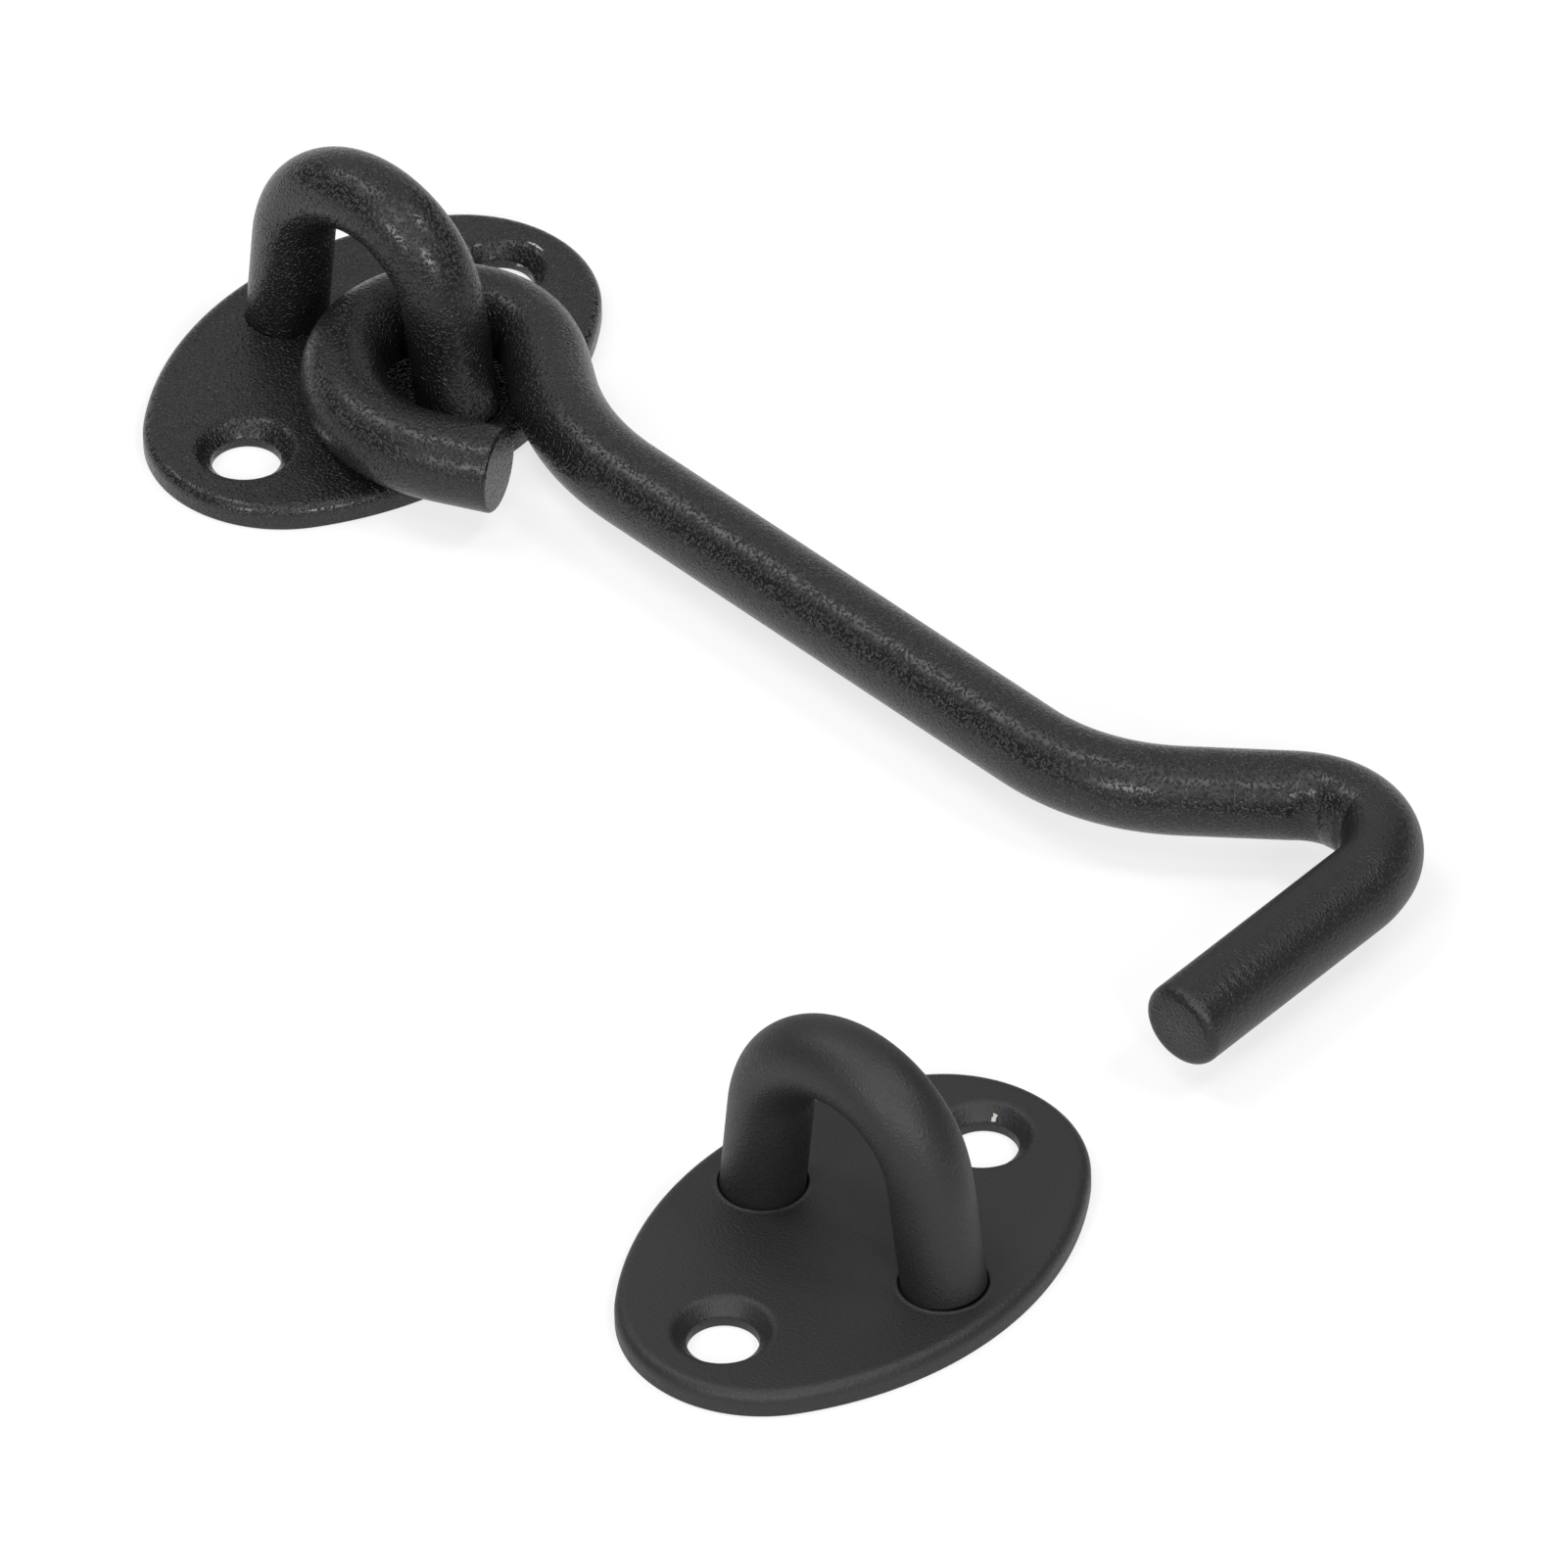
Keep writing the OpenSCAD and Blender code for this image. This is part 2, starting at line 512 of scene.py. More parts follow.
@dataclass
class BarPath:
    """Centre line of a bar bent in one plane, as (length, turn) steps in the order of bending."""

    steps: list[tuple[float, float]]
    pitch: float = 0.17 * MM
    easing: float = 0.7 * MM

    def lay(self, start: Array, heading: float) -> tuple[Array, Array, Array, Array]:
        """Lays the centre line out.

        Each step's curvature is its turn over its length. It is blurred along the bar by a bell
        curve as wide as the easing, because a bending tool leaves no sudden change. The blurred
        line is then moved so that its mean lies on the mean of the sharp one.

        Args:
            start: First point in the plane.
            heading: First heading in radians.

        Returns:
            Distance along the bar, points in the plane, headings and curvatures.
        """
        ends, turned_by = np.cumsum([(0.0, 0.0), *self.steps], axis=0).T
        along = np.linspace(0, ends[-1], int(round(ends[-1] / self.pitch)) + 1)
        step = along[1]
        sharp = np.diff(np.interp(along, ends, turned_by)) / step
        reach = int(4 * self.easing / step)
        bell = np.exp(-0.5 * (np.arange(-reach, reach + 1) * step / self.easing) ** 2)
        soft = np.convolve(np.pad(sharp, reach), bell / bell.sum(), "valid")
        sharp_points, _ = self.trace(start, heading, sharp, step)
        points, headings = self.trace(start, heading, soft, step)
        points = points + (sharp_points - points).mean(axis=0)
        curvature = np.interp(along, (along[1:] + along[:-1]) / 2, soft)
        return along, points, headings, curvature

    def trace(
        self, start: Array, heading: float, curvature: Array, step: float
    ) -> tuple[Array, Array]:
        """Sums the curvature to headings, and the unit vectors of the headings to points.

        Args:
            start: First point in the plane.
            heading: First heading in radians.
            curvature: Curvature between each point and the next.
            step: Distance between points.

        Returns:
            Points and their headings.
        """
        headings = heading + np.concatenate([[0], np.cumsum(curvature * step)])
        half_way = (headings[1:] + headings[:-1]) / 2
        moves = step * np.stack([np.cos(half_way), np.sin(half_way)], axis=1)
        return start + np.concatenate([np.zeros((1, 2)), np.cumsum(moves, axis=0)]), headings


@dataclass
class RoundBar:
    """A round bar swept along a centre line that lies in one plane."""

    radius: float
    sides: int = 88
    # How much a bend flattens the bar, and the share of that by which it widens the other way
    squash: float = 0.22
    widening: float = 0.5
    # Rings of an end's round edge, and the share of its flat face's radius at which one more ring
    # keeps the shading flat
    edge_rings: int = 8
    face_share: float = 0.9

    def sweep(
        self,
        shell: Shell,
        centres: Array,
        across: Array,
        out: Array,
        curvature: Array,
        relief: Array | float = 0.0,
        wear: Array | float = 0.0,
    ) -> Array:
        """Carries the bar's circle along the centre line and lays faces over it.

        Point = centre + radius * (cos(a) * across + sin(a) * out), where a goes round the bar. In
        a bend the circle flattens towards the bend's centre and widens the other way, by the
        square of the bar's radius over the bend's.

        Args:
            shell: Takes the surface.
            centres: Points of the centre line.
            across: Unit vector at each centre, in the bar's plane.
            out: Unit vector square to the plane.
            curvature: Curvature at each centre.
            relief: Height added to the radius, for each centre and side.
            wear: Wear for each centre and side.

        Returns:
            Point indices, centres down and sides across.
        """
        angle = angles_round(self.sides)
        bent = (self.squash * (np.abs(curvature) * self.radius) ** 2)[:, None, None]
        radius = self.radius + np.broadcast_to(relief, (len(centres), self.sides))
        flat = (1 - bent) * (radius * np.cos(angle))[..., None] * across[:, None]
        tall = (1 + self.widening * bent) * (radius * np.sin(angle))[..., None] * out
        index = shell.take(centres[:, None] + flat + tall, wear)
        shell.grid(index)
        return index

    def finish(
        self,
        shell: Shell,
        ring: Array,
        centre: Array,
        ahead: Array,
        across: Array,
        edge: float,
        wear: float = 0.0,
    ) -> None:
        """Closes one end of a level bar with a round edge and a flat face.

        With t from 0 to 90 degrees, a ring lies edge * sin(t) ahead of the centre, and its radius
        is the bar's less edge * (1 - cos(t)).

        Args:
            shell: Takes the surface.
            ring: Indices of the bar's last ring.
            centre: Middle of that ring.
            ahead: Unit vector out of the end.
            across: Unit vector at the ring's first point.
            edge: Radius of the round edge.
            wear: Wear of the end.
        """
        turn = np.linspace(0, math.pi / 2, self.edge_rings + 1)[1:]
        reach = np.append(edge * np.sin(turn), edge)
        face = self.face_share * (self.radius - edge)
        radius = np.append(self.radius - edge * (1 - np.cos(turn)), face)
        angle = angles_round(self.sides)
        circle = np.cos(angle)[:, None] * across + np.sin(angle)[:, None] * UP
        points = centre + reach[:, None, None] * ahead + radius[:, None, None] * circle
        rows = np.concatenate([ring[None], shell.take(points, wear)])
        flip = float(np.dot(np.cross(across, UP), ahead)) < 0
        shell.grid(rows, flip=flip)
        shell.cap(rows[-1], centre + edge * ahead, flip=flip)


@dataclass(frozen=True)
class Chip:
    """A chip in the coat of a screw hole."""

    # Place round the hole and reach to each side, in radians
    angle: float
    angle_reach: float
    # Place down the hole's profile and reach to each side, in points of the profile
    row: float
    row_reach: float


@dataclass
class OvalPlate:
    """Pressed oval plate with two countersunk screw holes and two seats for a staple."""

    centre: tuple[float, float]
    chips: tuple[Chip, ...] = ()
    length: float = 39 * MM
    width: float = 26.8 * MM
    thickness: float = 1.9 * MM
    rim: float = 0.9 * MM
    back_edge: float = 0.12 * MM
    screw_spacing: float = 27 * MM
    screw_radius: float = 2.5 * MM
    sink_radius: float = 3.55 * MM
    sink_soft: float = 0.35 * MM
    seat_x: float = 8.26 * MM
    seat_radius: float = 3.28 * MM
    seat_depth: float = 0.3 * MM
    # Height of the lip of coat round each leg, as a share of 0.075 mm
    lip: float = 1.0
    # Hole in the back that each riveted head lies in
    socket_radius: float = 2.95 * MM
    socket_depth: float = 0.5 * MM
    # Points of each of the outline's arcs, of the front edge's and of a countersink's round mouth
    arc_points: int = 72
    edge_points: int = 13
    mouth_points: int = 7
    # Width of the ring beside a round edge that keeps the face's shading flat
    face_ring: float = 0.15 * MM

    def outline(self, inward: float) -> Array:
        """Works out the oval at a distance inside its edge.

        The oval has four arcs. Their centres lie 4 units along X and 3 along Y from the middle, a
        unit being a quarter of length less width, and each point is its arc's centre plus its
        direction times its arc's radius.

        Args:
            inward: Distance inside the edge.

        Returns:
            Points of the loop in the plan, anticlockwise.
        """
        unit = (self.length - self.width) / 4
        corner = math.atan2(3, 4)
        side = np.linspace(-corner, corner, self.arc_points, endpoint=False)
        end = np.linspace(corner, math.pi - corner, self.arc_points, endpoint=False)
        angle = np.concatenate([side, end])
        side_radius = self.width / 2 + 4 * unit
        end_radius = self.length / 2 - 3 * unit
        radius = np.where(angle < corner, side_radius, end_radius) - inward
        middle = np.where((angle < corner)[:, None], [-4 * unit, 0], [0, 3 * unit])
        half = middle + radius[:, None] * np.stack([np.cos(angle), np.sin(angle)], axis=1)
        return np.concatenate([half, -half]) + self.centre

    def edge_profile(self) -> Array:
        """Lists the edge's section: a small arc at the back and the pressed one at the front.

        Returns:
            Distance inwards and height of each point, from the back to the front.
        """
        turn = np.linspace(0, math.pi / 2, self.edge_points)
        small = turn[::4]
        back = self.back_edge * np.stack([1 - np.sin(small), 1 - np.cos(small)], axis=1)
        inward = self.rim * (1 - np.cos(turn))
        front = np.stack([inward, self.thickness - self.rim * (1 - np.sin(turn))], axis=1)
        return np.concatenate([back, front, [[self.rim + self.face_ring, self.thickness]]])

    def screw_profile(self) -> Array:
        """Lists a screw hole's wall.

        The coat rounds the countersink's mouth, so it starts as an arc tangent to the face.

        Returns:
            Radius and height of each point, from the front to the back.
        """
        turn = np.linspace(0, math.pi / 4, self.mouth_points)
        bend = self.sink_soft / math.tan(math.pi / 8)
        mouth_radius = self.sink_radius + self.sink_soft
        face = [[mouth_radius + self.face_ring, self.thickness]]
        mouth = np.stack(
            [mouth_radius - bend * np.sin(turn), self.thickness - bend * (1 - np.cos(turn))], axis=1
        )
        # Millimetres from the throat's edge and from the back's, for the points that round each
        throat = np.array([[0.12, 0.12], [0.02, -0.02], [0.0, -0.12]]) * MM
        throat += [self.screw_radius, self.thickness - (self.sink_radius - self.screw_radius)]
        back = np.array([[0.0, 0.1], [0.03, 0.03], [0.1, 0.0]]) * MM + [self.screw_radius, 0]
        return np.concatenate([face, mouth, throat, back])

    def seat_profile(self) -> Array:
        """Lists a staple's seat: a low lip of coat, then a gap round the leg.

        Returns:
            Radius and height of each point, inwards.
        """
        # Millimetres from the seat's radius and from the plate's front
        lip = [[0.25, 0], [0.1, 0], [0, 0.02], [-0.08, 0.06], [-0.16, 0.075], [-0.22, 0.05]]
        gap = [[-0.28, -0.03], [-0.32, -self.seat_depth / MM]]
        steps = np.concatenate([np.array(lip) * [1, self.lip], gap])
        return [self.seat_radius, self.thickness] + steps * MM

    def worn(self, rows: int) -> Array:
        """Works out where a screw hole is chipped bare.

        Each chip is a flat-topped bell over the angle times a bell over the profile's points.

        Args:
            rows: How many points the hole's profile has.

        Returns:
            Wear from 0 to 1, profile down and sides across.
        """
        angle = angles_round(ROUND_SIDES)
        row = np.arange(rows)[:, None]
        total = np.zeros((rows, ROUND_SIDES))
        for chip in self.chips:
            round_hole = np.exp(-(((angle - chip.angle) / chip.angle_reach) ** 4))
            total += np.exp(-(((row - chip.row) / chip.row_reach) ** 2)) * round_hole
        return np.clip(total, 0, 1)

    def build(self, name: str, material: bpy.types.Material) -> bpy.types.Object:
        """Makes the plate, with any chips on its far screw hole.

        Args:
            name: Name of the piece.
            material: Its coat.

        Returns:
            The plate's object.
        """
        shell = Shell()
        profile = self.edge_profile()
        loops = np.stack([self.outline(inward) for inward in profile[:, 0]])
        heights = np.broadcast_to(profile[:, 1][:, None, None], (*loops.shape[:2], 1))
        edge = shell.take(np.concatenate([loops, heights], axis=2))
        shell.grid(edge)
        front, back = [edge[-1]], [edge[0]]
        screw_profile, seat_profile = self.screw_profile(), self.seat_profile()
        socket_profile = np.array([[0.12, 0.0], [0.0, 0.1], [0.0, self.socket_depth / MM]]) * MM
        socket_profile += [self.socket_radius, 0]
        for side in (-1, 1):
            screw = np.array(self.centre) + [0, side * self.screw_spacing / 2]
            wear = self.worn(len(screw_profile)) * (side > 0)
            wall = shell.lathe(screw, screw_profile, wear)
            shell.grid(wall)
            foot = np.array(self.centre) + [side * self.seat_x, 0]
            seat = shell.lathe(foot, seat_profile)
            shell.grid(seat)
            shell.cap(seat[-1], np.array([*foot, self.thickness - self.seat_depth]))
            socket = shell.lathe(foot, socket_profile)
            shell.grid(socket, flip=True)
            shell.cap(socket[-1], np.array([*foot, self.socket_depth]), flip=True)
            front += [wall[0], seat[0]]
            back += [wall[-1], socket[0]]
        shell.flat(front)
        shell.flat(back, flip=True)
        return shell.build(name, material)


@dataclass
class Staple:
    """Round bar bent to an inverted U with splayed legs, riveted behind its plate."""

    plate: OvalPlate
    bar: RoundBar = field(default_factory=lambda: RoundBar(3.0 * MM))
    foot: float = 8.5 * MM
    rise: float = 16.65 * MM
    bend: float = 7.25 * MM
    # Depth of each leg's end below the plate's front
    sunk: float = 0.28 * MM
    # Radius of a riveted head, and the heights of its dimple and of its top inside the plate
    head_radius: float = 2.88 * MM
    head_dimple: float = 0.05 * MM
    head_top: float = 0.45 * MM

    def build(self, name: str, material: bpy.types.Material) -> bpy.types.Object:
        """Makes the staple.

        Args:
            name: Name of the piece.
            material: Its coat.

        Returns:
            The staple's object.
        """
        arch = self.rise - self.bend
        lean = math.acos(self.bend / math.hypot(self.foot, arch)) - math.atan2(arch, self.foot)
        leg = math.sqrt(self.foot**2 + arch**2 - self.bend**2)
        start = self.plate.thickness - self.sunk
        leg -= start / math.cos(lean)
        turn = math.pi - 2 * lean
        path = BarPath([(leg, 0.0), (self.bend * turn, turn), (leg, 0.0)])
        first = np.array([self.foot - start * math.tan(lean), start])
        _, line, heading, curvature = path.lay(first, math.pi / 2 + lean)
        zero = np.zeros(len(line))
        centres = np.stack([line[:, 0], zero, line[:, 1]], axis=1) + [*self.plate.centre, 0]
        across = np.stack([-np.sin(heading), zero, np.cos(heading)], axis=1)
        shell = Shell()
        grid = self.bar.sweep(shell, centres, across, np.array([0.0, -1.0, 0.0]), curvature)
        shell.cap(grid[0], centres[0], flip=True)
        shell.cap(grid[-1], centres[-1])
        self.rivet(shell)
        return shell.build(name, material)

    def rivet(self, shell: Shell) -> None:
        """Adds the two riveted heads, each a low round button just inside the plate's back.

        Args:
            shell: Takes the surface.
        """
        # Millimetres from the head's radius and from the plate's back
        rows = [[-2.0, 0.03], [-0.9, 0.03], [-0.3, 0.06], [-0.05, 0.16], [0.0, 0.3]]
        rows.append([0.0, self.head_top / MM])
        profile = np.array(rows) * MM + [self.head_radius, 0]
        for side in (-1, 1):
            middle = np.array(self.plate.centre) + [side * self.plate.seat_x, 0]
            ring = shell.lathe(middle, profile)
            shell.grid(ring)
            shell.cap(ring[0], np.array([*middle, self.head_dimple]), flip=True)
            shell.cap(ring[-1], np.array([*middle, self.head_top]))


@dataclass
class HookArm:
    """The arm: one bar bent to an open eye, a neck, the shank, a crank and the nose."""

    bar: RoundBar = field(default_factory=lambda: RoundBar(3.15 * MM))
    pivot_x: float = 7.8216 * MM
    height: float = 5.35 * MM
    rest_angle: float = math.radians(-5.5)
    eye_slack: float = 0.6 * MM
    eye_radius: float = 7.18 * MM
    eye_turn: float = math.radians(155)
    tail: Bend = Bend(5.0 * MM, math.radians(85), 10.0 * MM)
    neck: Bend = Bend(3.9 * MM, math.radians(33), 21.4 * MM)
    shank: Bend = Bend(41.5 * MM, math.radians(41.9), 16.4 * MM)
    crank: Bend = Bend(8.4 * MM, math.radians(125.6), 6.1 * MM)
    nose: float = 19.1 * MM
    tip_edge: float = 0.8 * MM
    cut_edge: float = 0.25 * MM
    # How far the nose's coat has flowed smooth, and the length of bar over which that sets in
    nose_calm: float = 0.5
    calm_run: float = 6 * MM
    # Groove inside the nose's bend, at a share of the bend from its end
    fold_depth: float = 0.45 * MM
    fold_reach: float = 0.75 * MM
    fold_share: float = 0.52
    # Flat near the bend's start
    press_depth: float = 0.34 * MM
    press_reach: float = 1.7 * MM
    press_at: float = 1.3 * MM
    # Ripples near the tip
    crop_depth: float = 0.022 * MM
    crop_wave: float = 0.13 * MM
    crop_reach: float = 2.2 * MM
    crop_at: float = 3.6 * MM

    def calm(self, along: Array) -> Array:
        """Works out where the coat has flowed smooth: on the nose, from its bend to its tip.

        Args:
            along: Distance of each centre along the bar.

        Returns:
            Wear below 0 for each centre, as one column.
        """
        bend_middle = along[-1] - self.nose - 0.5 * self.crank.arc
        share = np.clip((along - bend_middle) / self.calm_run + 0.5, 0, 1)
        return -self.nose_calm * (share * share * (3 - 2 * share))[:, None]

    def path(self) -> tuple[Array, Array, Array, Array]:
        """Lays the centre line from the eye's cut end to the nose's tip, without their edges.

        Returns:
            Distance along the bar, points in the plane, headings and curvatures.
        """
        tail_run = self.tail.run - self.cut_edge
        steps = [(tail_run, 0.0), (self.tail.arc, -self.tail.turn)]
        steps.append((self.eye_turn * self.eye_radius, -self.eye_turn))
        for bend, way in ((self.neck, 1), (self.shank, 1), (self.crank, -1)):
            steps += [(bend.run, 0.0), (bend.arc, way * bend.turn)]
        steps.append((self.nose, 0.0))
        # Walk back from the eye's far side to the cut end, to find where the bar starts
        far = math.pi / 2 - self.neck.turn + self.eye_turn
        point = self.eye_radius * np.array([math.cos(far), math.sin(far)])
        outward = far + math.pi / 2
        bent = outward + self.tail.turn
        point = point + self.tail.radius * np.array(
            [math.sin(bent) - math.sin(outward), math.cos(outward) - math.cos(bent)]
        )
        point = point + tail_run * np.array([math.cos(bent), math.sin(bent)])
        point = point - [0, self.eye_slack]
        cosine, sine = math.cos(self.rest_angle), math.sin(self.rest_angle)
        start = np.array([[cosine, -sine], [sine, cosine]]) @ point + [self.pivot_x, 0]
        return BarPath(steps).lay(start, bent + math.pi + self.rest_angle)

    def relief(self, along: Array) -> Array:
        """Works out the marks that the tools left on the bar.

        A bell-shaped groove crosses the inside of the nose's bend, where the metal folds. A
        flat-topped bell near the bend's start is the bending tool's. Both fade round the bar by a
        power of the cosine. A wave along the bar near the tip is where it was cropped.

        Args:
            along: Distance of each centre along the bar.

        Returns:
            Height for each centre and side.
        """
        angle = angles_round(self.bar.sides)
        bend_end = along[-1] - self.nose
        inside = np.clip(np.cos(angle - np.pi), 0, 1)
        from_fold = along - bend_end + self.fold_share * self.crank.arc
        fold = -self.fold_depth * np.exp(-((from_fold / self.fold_reach) ** 2))
        from_press = np.abs(along - (bend_end - self.crank.arc + self.press_at))
        press = -self.press_depth * np.exp(-((from_press / self.press_reach) ** 6))
        marks = np.outer(fold, inside**3) + np.outer(press, inside**5)
        from_tip = (along[-1] - along)[:, None]
        unevenness = 2.0 * np.sin(3 * angle) + 1.3 * np.sin(7 * angle)
        wave = np.sin(from_tip / self.crop_wave + unevenness)
        near_tip = np.exp(-(((from_tip - self.crop_at) / self.crop_reach) ** 4))
        on_top = np.clip(np.sin(angle + 0.5), 0, 1) ** 2
        return marks + self.crop_depth * wave * near_tip * on_top

    def build(self, name: str, material: bpy.types.Material) -> bpy.types.Object:
        """Makes the arm.

        Args:
            name: Name of the piece.
            material: Its coat.

        Returns:
            The arm's object.
        """
        along, line, heading, curvature = self.path()
        zero = np.zeros(len(line))
        centres = np.stack([line[:, 0], line[:, 1], zero + self.height], axis=1)
        across = np.stack([-np.sin(heading), np.cos(heading), zero], axis=1)
        ahead = np.stack([np.cos(heading), np.sin(heading), zero], axis=1)
        relief, wear = self.relief(along), self.calm(along)
        shell = Shell()
        grid = self.bar.sweep(shell, centres, across, UP, curvature, relief, wear)
        for end, way, edge in ((0, -1, self.cut_edge), (-1, 1, self.tip_edge)):
            self.bar.finish(
                shell, grid[end], centres[end], way * ahead[end], across[end], edge, wear[end, 0]
            )
        return shell.build(name, material)


@dataclass(frozen=True)
class Softbox:
    """A rectangular studio lamp that faces the origin.

    The heading is its direction round +Z, from +X, and the rise its angle above the floor, both in
    degrees. The first size is upright, or along the heading on an overhead lamp, and the second is
    sideways. The power is in watts.
    """

    name: str
    heading: float
    rise: float
    away: float
    size: tuple[float, float]
    power: float

    def build(self) -> None:
        """Sets up the lamp."""
        light = bpy.data.lights.new(self.name, "AREA")
        light.shape = "RECTANGLE"
        light.size, light.size_y = self.size
        light.energy = self.power
        lamp = bpy.data.objects.new(self.name, light)
        round_z = Matrix.Rotation(math.radians(self.heading), 4, "Z")
        tilt = Matrix.Rotation(math.radians(90 - self.rise), 4, "Y")
        lamp.matrix_world = round_z @ tilt @ Matrix.Translation((0.0, 0.0, self.away))
        bpy.context.scene.collection.objects.link(lamp)


@dataclass(frozen=True)
class PhotoCamera:
    """The camera as it was fitted to the photograph, with its direction seen from the origin."""

    # Turn of the view round +Z from one along +Y, its angle above the floor and its roll
    azimuth: float = math.radians(42.5)
    elevation: float = math.radians(39.4)
    roll: float = math.radians(-1.54)
    distance: float = 1.7358
    # How far the camera stands to the picture's right of the origin, and below it
    aside: float = 0.02953
    below: float = 0.02912
    sensor_mm: float = 36.0
    lens_mm: float = 554.2
    clip: tuple[float, float] = (0.1, 20.0)

    def build(self) -> None:
        """Makes the camera and the scene use it."""
        sine, cosine = math.sin(self.azimuth), math.cos(self.azimuth)
        low, high = math.cos(self.elevation), math.sin(self.elevation)
        back = np.array([sine * low, -cosine * low, high])
        level = np.array([cosine, sine, 0.0])
        upright = np.cross(back, level)
        right = math.cos(self.roll) * level + math.sin(self.roll) * upright
        top = math.cos(self.roll) * upright - math.sin(self.roll) * level
        place = self.distance * back + self.aside * right - self.below * top
        data = bpy.data.cameras.new("camera")
        data.sensor_width = self.sensor_mm
        data.lens = self.lens_mm
        data.clip_start, data.clip_end = self.clip
        camera = bpy.data.objects.new("camera", data)
        pose = np.eye(4)
        pose[:3, :4] = np.stack([right, top, back, place], axis=1)
        camera.matrix_world = Matrix(pose.tolist())
        bpy.context.scene.collection.objects.link(camera)
        bpy.context.scene.camera = camera


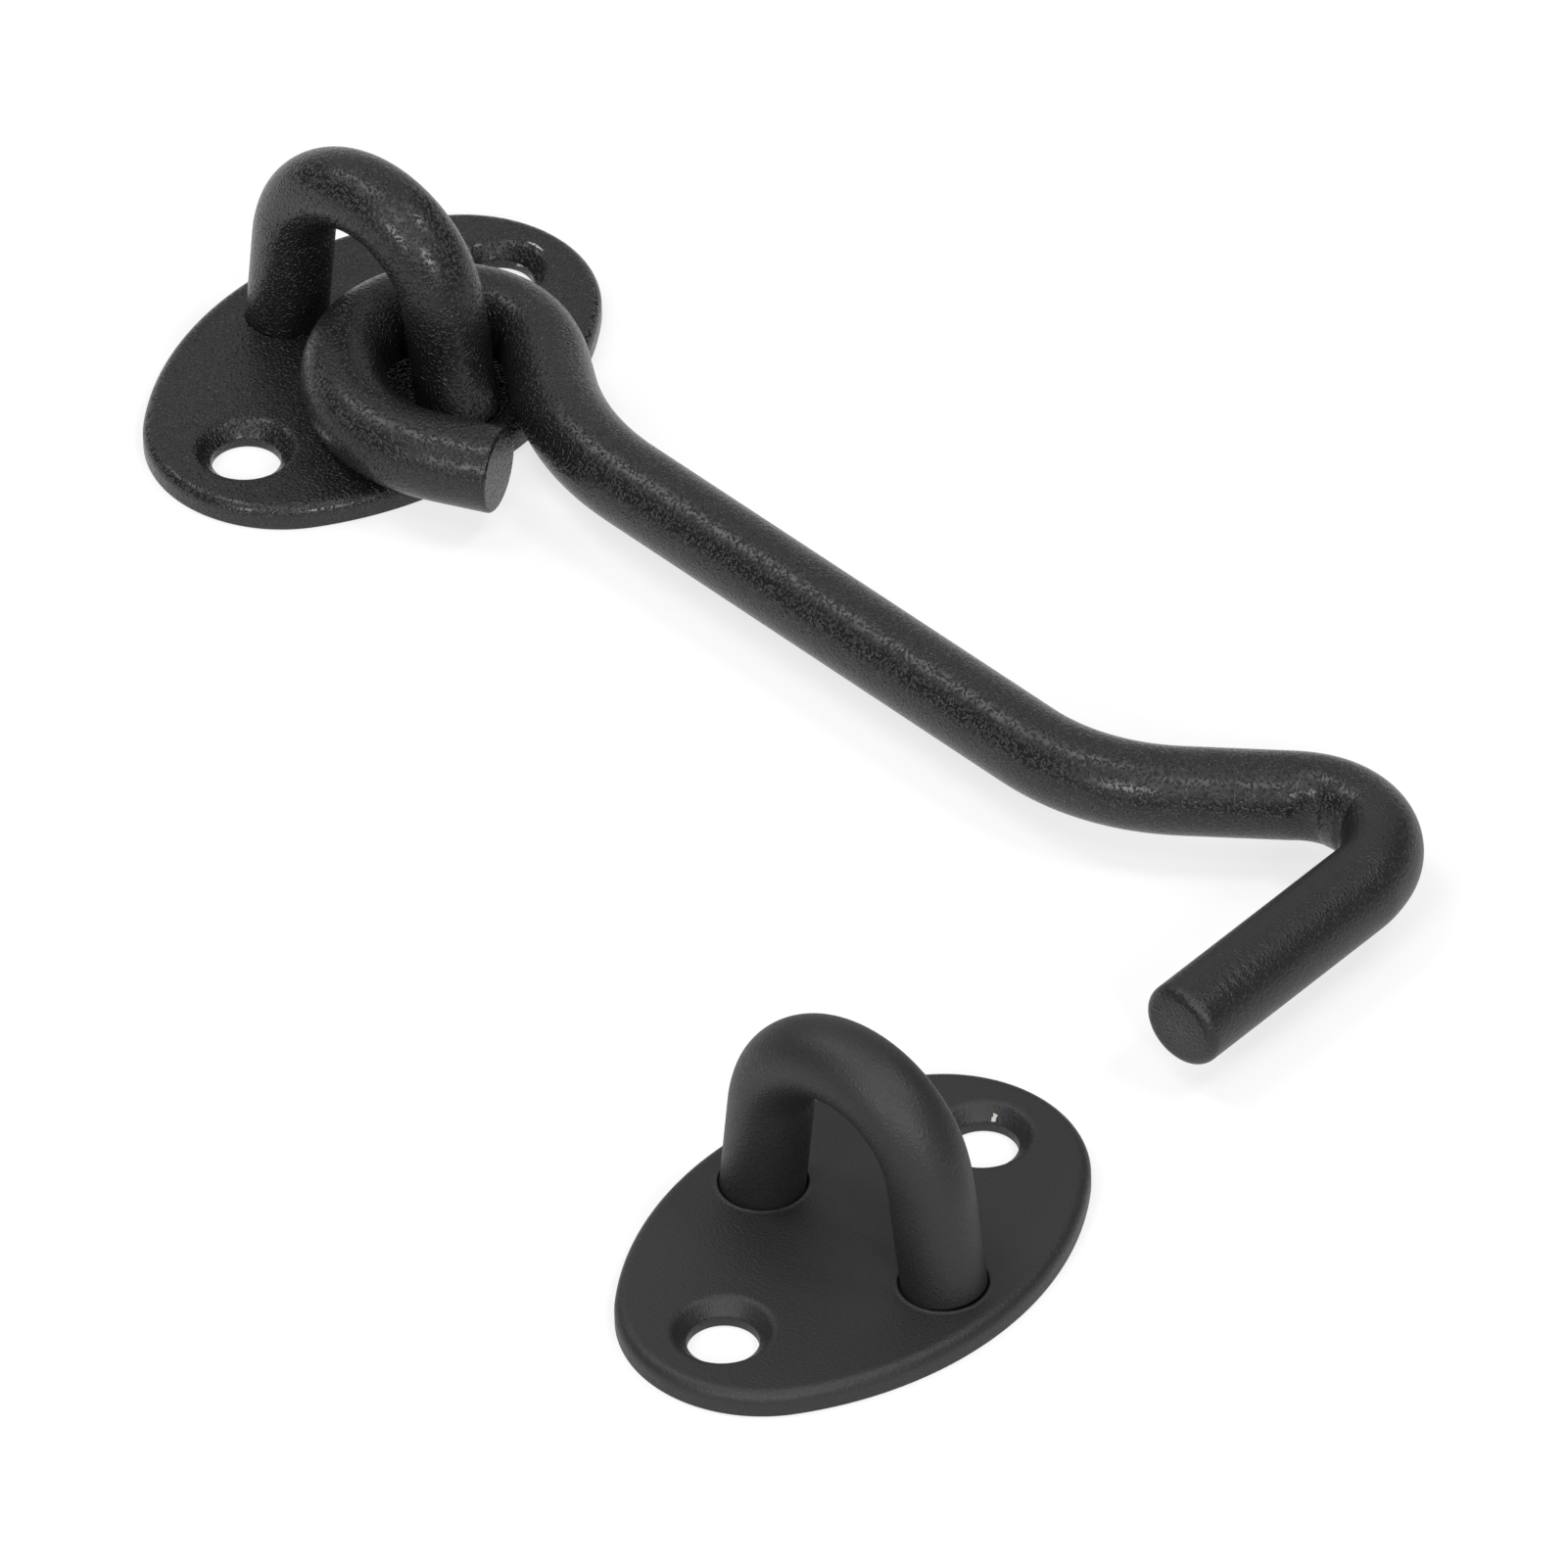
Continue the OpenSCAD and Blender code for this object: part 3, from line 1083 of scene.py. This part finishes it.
@dataclass(frozen=True)
class Studio:
    """Pale paper floor, soft lamps, the room's fill light and the camera."""

    floor_size: float = 6.0
    # Depth of the floor below the plates' backs
    floor_gap: float = 0.05 * MM
    floor_colour: str = "f4f4f4"
    # Share of plain white that the eye and mirrors see in the floor
    floor_white: float = 0.7
    white: str = "ffffff"
    world_strength: float = 0.09
    lamps: tuple[Softbox, ...] = (
        Softbox("overhead_softbox", -51.5, 90.0, 1.2, (2.6, 2.0), 9.0),
        Softbox("far_softbox", 132.5, 22.0, 2.6, (2.2, 3.2), 9.5),
        Softbox("left_far_lamp", -166.0, 50.0, 1.6, (0.5, 0.5), 4.2),
        Softbox("left_overhead_lamp", -140.0, 72.0, 1.6, (0.3, 0.3), 3.2),
        Softbox("right_overhead_lamp", 26.0, 60.0, 1.6, (0.35, 0.35), 6.0),
        Softbox("front_overhead_lamp", -57.0, 62.0, 1.8, (0.35, 0.35), 3.5),
        Softbox("left_front_lamp", -77.0, 30.0, 2.2, (0.5, 0.5), 16.0),
        Softbox("right_front_lamp", -29.0, 30.0, 2.2, (0.5, 0.5), 18.0),
    )

    def floor(self) -> None:
        """Makes the floor, just under the plates' backs."""
        material = bpy.data.materials.new("matt_paper_sweep")
        material.use_nodes = True
        shader = material.node_tree.nodes["Principled BSDF"]
        shader.inputs["Base Color"].default_value = linear(self.floor_colour)
        shader.inputs["Roughness"].default_value = 1.0
        shader.inputs["Specular IOR Level"].default_value = 0.0
        self.whiten(material.node_tree, shader)
        half = self.floor_size / 2
        corners = [
            (x * half, y * half, -self.floor_gap) for x, y in ((-1, -1), (1, -1), (1, 1), (-1, 1))
        ]
        mesh = bpy.data.meshes.new("floor")
        mesh.from_pydata(corners, [], [(0, 1, 2, 3)])
        mesh.materials.append(material)
        floor = bpy.data.objects.new("floor", mesh)
        bpy.context.scene.collection.objects.link(floor)

    def whiten(self, tree: bpy.types.NodeTree, shader: bpy.types.Node) -> None:
        """Shows the eye and mirrors a floor that is mostly plain white, with faint shadows.

        Args:
            tree: Node tree of the floor's material.
            shader: Its diffuse surface.
        """
        path = add_node(tree, "ShaderNodeLightPath")
        seen = add_node(
            tree,
            "ShaderNodeMath",
            {0: path.outputs["Is Camera Ray"], 1: path.outputs["Is Glossy Ray"]},
            operation="ADD",
        )
        seen = add_node(
            tree,
            "ShaderNodeMath",
            {0: seen.outputs[0], 1: path.outputs["Is Transmission Ray"]},
            operation="ADD",
            use_clamp=True,
        )
        share = add_node(
            tree, "ShaderNodeMath", {0: seen.outputs[0], 1: self.floor_white}, operation="MULTIPLY"
        )
        plain = {"Color": linear(self.white), "Strength": 1.0}
        white = add_node(tree, "ShaderNodeEmission", plain)
        mix = add_node(
            tree,
            "ShaderNodeMixShader",
            {0: share.outputs[0], 1: shader.outputs["BSDF"], 2: white.outputs["Emission"]},
        )
        tree.links.new(mix.outputs["Shader"], tree.nodes["Material Output"].inputs["Surface"])

    def world(self) -> None:
        """Makes the room's even fill light."""
        world = bpy.data.worlds.new("studio_room")
        world.use_nodes = True
        back = world.node_tree.nodes["Background"]
        back.inputs["Color"].default_value = linear(self.white)
        back.inputs["Strength"].default_value = self.world_strength
        bpy.context.scene.world = world

    def build(self) -> None:
        """Sets up floor, fill light, lamps and camera."""
        self.floor()
        self.world()
        for lamp in self.lamps:
            lamp.build()
        PhotoCamera().build()
        bpy.context.scene.view_settings.view_transform = "Standard"


def place_piece(piece: bpy.types.Object, node: str, body: Body) -> None:
    """Puts a piece in a node's stead and reports it.

    Args:
        piece: The visual piece.
        node: CAD node that it stands for.
        body: Body that it rides on.
    """
    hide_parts(node)
    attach(piece, body.value)
    LOG.info("%s stands for %s with %d faces", piece.name, node, len(piece.data.polygons))


def main() -> None:
    """Builds the latch and its studio."""
    logging.basicConfig(level=logging.INFO, format="%(name)s: %(message)s")
    plate_coat = PowderCoat("black_powder_coat_on_pressed_plate", Grain.COARSE).build()
    staple_coat = PowderCoat("black_powder_coat_on_bent_staple", Grain.COARSE).build()
    arm_coat = PowderCoat("black_powder_coat_on_bent_arm", Grain.COARSE).build()
    # The keeper's coat shows less grain and a duller gloss
    calm_coat = PowderCoat(
        "smoother_black_powder_coat_on_keeper", Grain.SMOOTH, colour="1b1b1c", roughness=0.52
    ).build()

    hook_chips = (Chip(1.5, 0.26, 1.6, 1.1), Chip(1.65, 0.16, 9.8, 0.6))
    plate = OvalPlate((0.0, 0.0), chips=hook_chips, lip=0.15)
    piece = plate.build("hook_plate_pressed", plate_coat)
    place_piece(piece, "hook_plate", Body.BASE)
    piece = Staple(plate).build("hook_staple_bar", staple_coat)
    place_piece(piece, "hook_staple", Body.BASE)
    piece = HookArm().build("hook_arm_bar", arm_coat)
    place_piece(piece, "hook_arm", Body.ARM)

    keeper_chips = (Chip(2.0, 0.09, 8.0, 0.8),)
    plate = OvalPlate((90.3 * MM, -50.2 * MM), chips=keeper_chips, seat_radius=3.4 * MM)
    piece = plate.build("keeper_plate_pressed", calm_coat)
    place_piece(piece, "keeper_plate", Body.BASE)
    piece = Staple(plate).build("keeper_staple_bar", calm_coat)
    place_piece(piece, "keeper_staple", Body.BASE)

    Studio().build()


if __name__ == "__main__":
    main()
